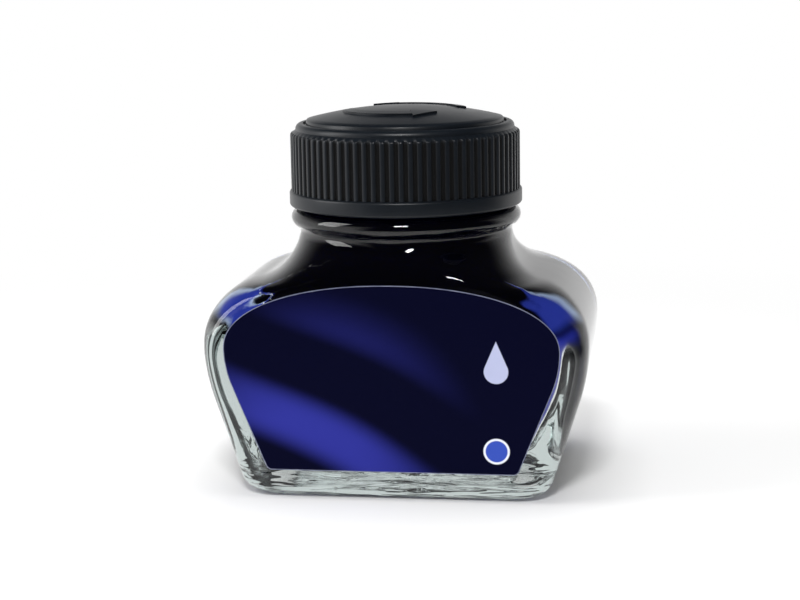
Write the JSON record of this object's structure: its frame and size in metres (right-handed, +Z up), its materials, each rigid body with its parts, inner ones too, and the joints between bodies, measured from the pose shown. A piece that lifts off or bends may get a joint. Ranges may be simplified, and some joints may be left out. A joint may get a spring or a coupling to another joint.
{
  "type": "ink bottle",
  "caption": "Filled glass ink bottle with leaning sides, round shoulders, an arched front label and a ribbed, lined screw cap that unscrews from the threaded neck.",
  "frame": {"origin": "middle of the foot, on the surface that the bottle stands on", "axes": "+Z up along the neck and the cap's axis, -Y out of the labelled front, +X to the right of the label"},
  "size_m": [0.0566, 0.0379, 0.0559],
  "materials": {
    "clear_glass": "clear pressed glass with a faint grey-green tint",
    "blue_ink": "liquid",
    "label_film": "printed film, satin",
    "black_cap": "satin moulded",
    "white_foam": "foamed sheet",
    "clear_film": "film"
  },
  "bodies": {
    "bottle": {"glass_bottle": "clear_glass", "ink_fill": "blue_ink", "front_label": "label_film"},
    "liner": {"liner_wad": "white_foam", "liner_facing": "clear_film"},
    "cap": {"screw_cap": "black_cap"}
  },
  "joints": [
    {"name": "cap_lift", "type": "slide", "parent": "bottle", "child": "liner", "axis": [0, 0, 1], "range_m": [0, 0.0127]},
    {"name": "cap_turn", "type": "hinge", "parent": "liner", "child": "cap", "pos_m": [0, 0, 0.048], "axis": [0, 0, 1], "range_deg": [0, 1080]}
  ],
  "couplings": [
    {"joint": "cap_lift", "follows": "cap_turn", "m_per_rad": 0.00067322}
  ]
}
